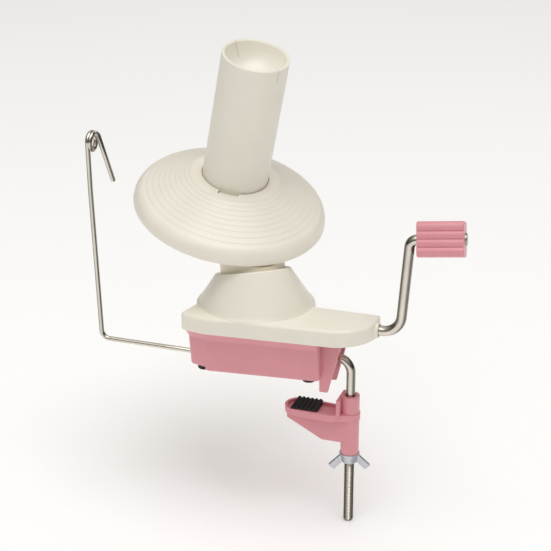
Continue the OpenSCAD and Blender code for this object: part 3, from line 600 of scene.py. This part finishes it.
profile = [(19.5, 10.6), (19.5, DISC_RISE - 1.6), (20.0, DISC_RISE - 1.6),
           (20.0, DISC_RISE - 0.5), (20.15, DISC_RISE - 0.12), (20.6, DISC_RISE),
           (24.4, DISC_RISE)]
steps, first = 9, 27.2
step_w = (dome_r - 1.2 - first) / steps
for k in range(steps):
    r = first + k * step_w * (0.82 + 0.18 * k / (steps - 1)) * steps / (steps - 1)
    profile += [(r - 0.35, dome(r) + 0.42), (r - 0.12, dome(r) + 0.33), (r, dome(r) + 0.12),
                (r + 0.2, dome(r) - 0.02)]
profile += [(dome_r + 0.1, dome_z - 0.12)]
profile += [(DISC_R - rim_arc + rim_arc * math.cos(math.radians(t)),
             rim_z + rim_arc * math.sin(math.radians(t))) for t in range(60, -1, -4)]
profile += [(DISC_R, -2.8), (DISC_R - 0.2, -3.15), (DISC_R - 0.6, -3.3), (DISC_R - 2.2, -3.3),
            (DISC_R - 2.4, rim_z), (DISC_R - 4.6, 1.9), (48.4, dome(48.4) - 2.5),
            (47.2, dome(47.2) - 2.5), (47.2, 5.2), (44.4, 5.2), (44.4, dome(44.4) - 2.5),
            (26, dome(26) - 2.5), (23.4, DISC_RISE - 3.4), (23.4, 8.2), (12, 8.2),
            (12, 10.6)]
disc = lathe("disc_shell", profile, SPOOL, steps=192, smooth_deg=28)
key_turn = Matrix.Rotation(math.radians(KEY_ANGLE), 4, "Z")
cut(disc, box("notch", (0, -6, DISC_RISE - 2.6), (23.2, 6, 40), SPOOL @ key_turn, bevel=0))
shade(disc, 28)
finish_piece(disc, "ivory_plastic", "spool", "disc")

bore = 4.08
spindle_profile = [(SPINDLE_R, 10.7), (SPINDLE_R, SPINDLE_TOP - 0.5),
                   (SPINDLE_R - 0.12, SPINDLE_TOP - 0.15), (SPINDLE_R - 0.5, SPINDLE_TOP),
                   (SPINDLE_R - 1.5, SPINDLE_TOP), (SPINDLE_R - 1.9, SPINDLE_TOP - 0.25)]
cup_floor = [(5 + 12.2 * k / 14, SPINDLE_TOP - 11.8 + 11 * (k / 14) ** 2.2)
             for k in range(14, -1, -1)]
spindle_profile += cup_floor + [(1.0, SPINDLE_TOP - 12.2), (0.0001, SPINDLE_TOP - 12.2),
                                (0.0001, SPINDLE_TOP - 14.2), (5, SPINDLE_TOP - 14.0),
                                (11, SPINDLE_TOP - 10), (SPINDLE_R - WALL, SPINDLE_TOP - 4),
                                (SPINDLE_R - WALL, 13.7), (7.4, 13.7), (7.4, 30), (bore, 30),
                                (bore, 8.3), (7.4, 8.3), (7.4, 10.7)]
spindle = lathe("spindle_shell", spindle_profile, SPOOL, steps=160, smooth_deg=40)
slit_turn = Matrix.Rotation(math.radians(SLIT_ANGLE), 4, "Z")
cut(spindle, box("slit", (-30, -SLIT_HALF, SPINDLE_TOP - SLIT_DEPTH),
                 (30, SLIT_HALF, SPINDLE_TOP + 5),
                 SPOOL @ slit_turn, bevel=0))
add(spindle, box("lug", (14, -5.6, 10.7), (22.9, 5.6, DISC_RISE - 1.9), SPOOL @ key_turn, bevel=0))
shade(spindle, 33)
finish_piece(spindle, "ivory_plastic", "spool", "spindle", "spindle_cup")

# ------------------------------------------------------------------ crank and grip

crank_r = 2.95
path = [(-36.4, 0, CRANK_Z), (0, 0, CRANK_Z), (34, 0, CRANK_Z)]
low, direction = bend_points(path[-1], (1, 0, 0), (0, 0, 1), 11, 90 - 4.2, 14)
path += [tuple(p) for p in low]
arm_end = low[-1] + direction * 43
path += [tuple(arm_end)]
pin_start = PIN.translation / MM
pin_dir = PIN.to_3x3() @ Vector((0, 0, 1))
corner, _ = bend_points(arm_end, direction, pin_dir, 4.8, 81.4, 12)
path += [tuple(p) for p in corner]
path += [tuple(pin_start + pin_dir * 26.6)]
ends, radii = rounded_ends(path, crank_r)
crank = tube("crank_bar", ends, crank_r, radii=radii, sides=32)
finish_piece(crank, "plated_steel", "crank", "crank_rod")

GRIP_W, GRIP_RIBS, GRIP_TURN = 19.7, 4, -22


def grip_outline(scale=1.0, inset=0.0):
    """Square section with half-round ribs along every side."""
    side = GRIP_W - 1.8
    pitch = side / GRIP_RIBS
    corner_u = side / 2
    points = []
    for s in range(4):
        turn = math.radians(-90 * s)
        for k in range(GRIP_RIBS):
            for j in range(12):
                u = -corner_u + (k + j / 12) * pitch
                v = corner_u - inset + 0.95 * math.sin(math.pi * j / 12) ** 0.6
                u *= (corner_u - inset) / corner_u
                points.append((scale * (u * math.cos(turn) - v * math.sin(turn)),
                               scale * (u * math.sin(turn) + v * math.cos(turn))))
    return points


grip_rings = []
for z, inset in ((0.1, 0.7), (0.2, 0.3), (0.5, 0.05), (1.0, 0), (25.2, 0), (25.7, 0.05),
                 (26.0, 0.3), (26.1, 0.7)):
    grip_rings.append(at(grip_outline(inset=inset), z))
grip = loft("grip_shell", grip_rings, PIN @ Matrix.Rotation(math.radians(GRIP_TURN), 4, "Z"),
            smooth_deg=60)
cut(grip, tube("grip_bore", [(0, 0, -3), (0, 0, 32)], 3.03, PIN, sides=48))
shade(grip, 45)
finish_piece(grip, "pink_plastic", "grip", "grip")

cap = lathe("rod_cap", [(0.001, 26.3), (3.6, 26.3), (3.6, 26.9), (3.2, 27.3), (0.001, 27.5)],
            PIN, steps=48)
finish_piece(cap, "plated_steel", "crank", "grip_cap")

# ------------------------------------------------------------------ clamp

rod_path = [(-14, 0, ROD_Z), (-4, 0, ROD_Z), (7, 0, ROD_Z)]
turn, _ = bend_points(rod_path[-1], (1, 0, 0), (0, 0, -1), 9, 90, 16)
rod_path += [tuple(p) for p in turn] + [(ROD_X, 0, -20), (ROD_X, 0, -40.2)]
rod = tube("clamp_bar", rod_path, 2.65, sides=32)
finish_piece(rod, "plated_steel", "base", "clamp_rod")

NUT_TOP, NUT_ANGLE, HUB_H, WING_HALF = -49.0, 17, 5.4, 1.05
NUT = Matrix.Translation(Vector((ROD_X, 0, NUT_TOP - HUB_H)) * MM) @ Matrix.Rotation(
    math.radians(NUT_ANGLE), 4, "Z")
nut = lathe("wing_nut_hub", [(3.1, 0), (4.1, 0), (4.4, 0.3), (5.2, HUB_H - 1.3),
                             (5.4, HUB_H - 1.1), (5.4, HUB_H - 0.25), (5.2, HUB_H - 0.06),
                             (3.1, HUB_H - 0.06)], NUT, steps=64, smooth_deg=30)
finish_piece(nut, "zinc", "nut", "wing_nut")
for tag, side_sign in (("left", -1), ("right", 1)):
    wing = [(side_sign * x, HUB_H + z) for x, z in
            ((4.3, -0.6), (5.4, -0.7), (12.3, -7.6), (9.3, -10.4), (4.1, -5.2))]
    wing_plate = plate(f"wing_{tag}", wing, -WING_HALF, WING_HALF, NUT, bevel=0.3)
    finish_piece(wing_plate, "zinc", "nut")

# Centre of each foot, and the height of the face it is fixed to
FEET = ((-6.4, -10.2, FOOT_GAP), (-70.0, -13.4, 5.0), (-36, 25, FOOT_GAP), (-62, 21, FOOT_GAP))
for k, (x, y, top) in enumerate(FEET):
    foot = lathe(f"foot_{k}", [(0.001, 0), (3.3, 0), (3.7, 0.15), (3.95, 0.5), (4.05, 1.0),
                               (4.05, top), (0.001, top)],
                 Matrix.Translation(Vector((x, y, 0)) * MM), steps=48)
    finish_piece(foot, "black_rubber", "base", *(["rubber_feet"] if k == 0 else []))

PITCH, TURN_ROWS, THREAD_SIDES = 1.0, 6, 24
thread_top, thread_low = -40.0, -93.9
rows = int((thread_top - thread_low) / PITCH * TURN_ROWS)
thread_rings = []
for row in range(rows + 1):
    z = thread_top - row * PITCH / TURN_ROWS
    ring = []
    for k in range(THREAD_SIDES):
        phase = (z / PITCH - k / THREAD_SIDES) % 1.0
        depth = 0.5 * min(1.0, 2.2 * abs(phase - 0.5))
        end = min(1.0, (z - thread_low) / 0.8, (thread_top - z) / 0.8 + 0.3)
        r = 2.98 - depth - 0.5 * (1 - max(0, end))
        a = 2 * math.pi * k / THREAD_SIDES
        ring.append((ROD_X + r * math.cos(a), r * math.sin(a), z))
    thread_rings.append(ring)
thread = loft("clamp_thread", thread_rings, smooth_deg=70)
finish_piece(thread, "plated_steel", "base")

# ------------------------------------------------------------------ guide wire

wire_r, lean = 1.42, math.radians(1.7)
foot_x = -140.2
path = [(-60.7, GUIDE_Y, GUIDE_Z), (-100, GUIDE_Y, GUIDE_Z), (foot_x + 5, GUIDE_Y, GUIDE_Z)]
turn, direction = bend_points(path[-1], (-1, 0, 0), (0, 0, 1), 5, 90 - 1.7, 10)
path += [tuple(p) for p in turn]
eye_c = Vector((foot_x - (128 - GUIDE_Z) * math.tan(lean) + 0.2, -0.2, 128.0))
eye_r = 5.0
path.append((eye_c.x + 0.4, GUIDE_Y - 0.1, 100))
# The wire goes up the near side, once and a quarter round, then leaves over the top
turns, count = 1.25, 40
for k in range(count + 1):
    a = 2 * math.pi * turns * k / count
    x = eye_c.x + 2.3 * max(0.0, k / count - 0.18)
    path.append((x, eye_c.y - eye_r * math.cos(a), eye_c.z + eye_r * math.sin(a)))
free = Vector(path[-1])
turn, direction = bend_points(free, (0.8, 0.6, 0.0), (0.0, -0.4, -1), 2.6, 76, 8)
path += [tuple(p) for p in turn]
path.append(tuple(turn[-1] + (Vector((-130.4, -0.3, 104.8)) - turn[-1]) * 1.0))
ends, radii = rounded_ends(path, wire_r, 0.4)
guide = tube("guide_bar", ends, wire_r, radii=radii, sides=20)
finish_piece(guide, "plated_steel", "guide", "guide_wire")

# ------------------------------------------------------------------ carried-over CAD nodes

record_slots = {p["node"]: p["material_slot"] for p in frame["record"]["subparts"]}
for name, obj in NODES.items():
    obj.data.materials.clear()
    obj.data.materials.append(MATERIALS[record_slots[name]])
    for poly in obj.data.polygons:
        poly.use_smooth = False
# The rotor gets the warmer ivory copy: painted warm bounce light on the neck
NODES["rotor"].data.materials[0] = MATERIALS["ivory_painted_warm_bounce"]
for name, width in (("clamp_jaw", 0.7), ("jaw_pad", 0.25), ("clamp_washer", 0.15), ("rotor", 0.3)):
    soften(NODES[name], width, angle=30)

# ------------------------------------------------------------------ stage, light and camera

SKY_LOW, SKY_HIGH = 0.0, 0.8
FRONT_W, TOP_W, FLOOR_GLOW = 16.0, 40.0, 0.1

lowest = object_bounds()[0][2]
bpy.ops.mesh.primitive_plane_add(size=12, location=(0, 0, lowest - 0.0005))
floor = bpy.context.object
floor.name = "floor"
floor.data.materials.append(material("pale_floor", srgb(252, 252, 252), 0.8, mottle=0.004,
                                     mottle_scale=2, bump=0))
glow = floor.data.materials[0].node_tree.nodes["Principled BSDF"]
glow.inputs["Emission Color"].default_value = (1, 1, 1, 1)
glow.inputs["Emission Strength"].default_value = FLOOR_GLOW

world = bpy.data.worlds.new("studio")
bpy.context.scene.world = world
world.use_nodes = True
sky = world.node_tree.nodes
sky["Background"].inputs["Color"].default_value = (1, 0.975, 0.94, 1)
heading = sky.new("ShaderNodeTexCoord")
height = sky.new("ShaderNodeSeparateXYZ")
dome_light = sky.new("ShaderNodeMapRange")
dome_light.inputs["To Min"].default_value = SKY_LOW
dome_light.inputs["To Max"].default_value = SKY_HIGH
world.node_tree.links.new(heading.outputs["Generated"], height.inputs["Vector"])
world.node_tree.links.new(height.outputs["Z"], dome_light.inputs["Value"])
world.node_tree.links.new(dome_light.outputs["Result"], sky["Background"].inputs["Strength"])


def area_light(name, place, target, size, power):
    data = bpy.data.lights.new(name, "AREA")
    data.shape = "SQUARE"
    data.size = size
    data.energy = power
    obj = bpy.data.objects.new(name, data)
    bpy.context.scene.collection.objects.link(obj)
    obj.location = place
    obj.rotation_euler = (Vector(target) - Vector(place)).to_track_quat("-Z", "Y").to_euler()


area_light("front", (-0.25, -1.7, 2.7), (-0.03, 0, 0.05), 2.2, FRONT_W)
area_light("top", (0.6, -0.55, 3.2), (-0.03, 0, 0.05), 2.2, TOP_W)

bpy.context.scene.view_settings.view_transform = "Standard"
AZIMUTH, ELEVATION, DISTANCE, TARGET = 19.0, 22.0, 0.8641, Vector((-0.0304, 0, 0.0585))
a, e = math.radians(AZIMUTH), math.radians(ELEVATION)
back = Vector((math.sin(a) * math.cos(e), -math.cos(a) * math.cos(e), math.sin(e)))
camera_data = bpy.data.cameras.new("camera")
camera_data.lens = 98.0
camera_data.sensor_width = 36
camera = bpy.data.objects.new("camera", camera_data)
bpy.context.scene.collection.objects.link(camera)
camera.location = TARGET + back * DISTANCE
camera.rotation_euler = back.to_track_quat("Z", "Y").to_euler()
bpy.context.scene.camera = camera
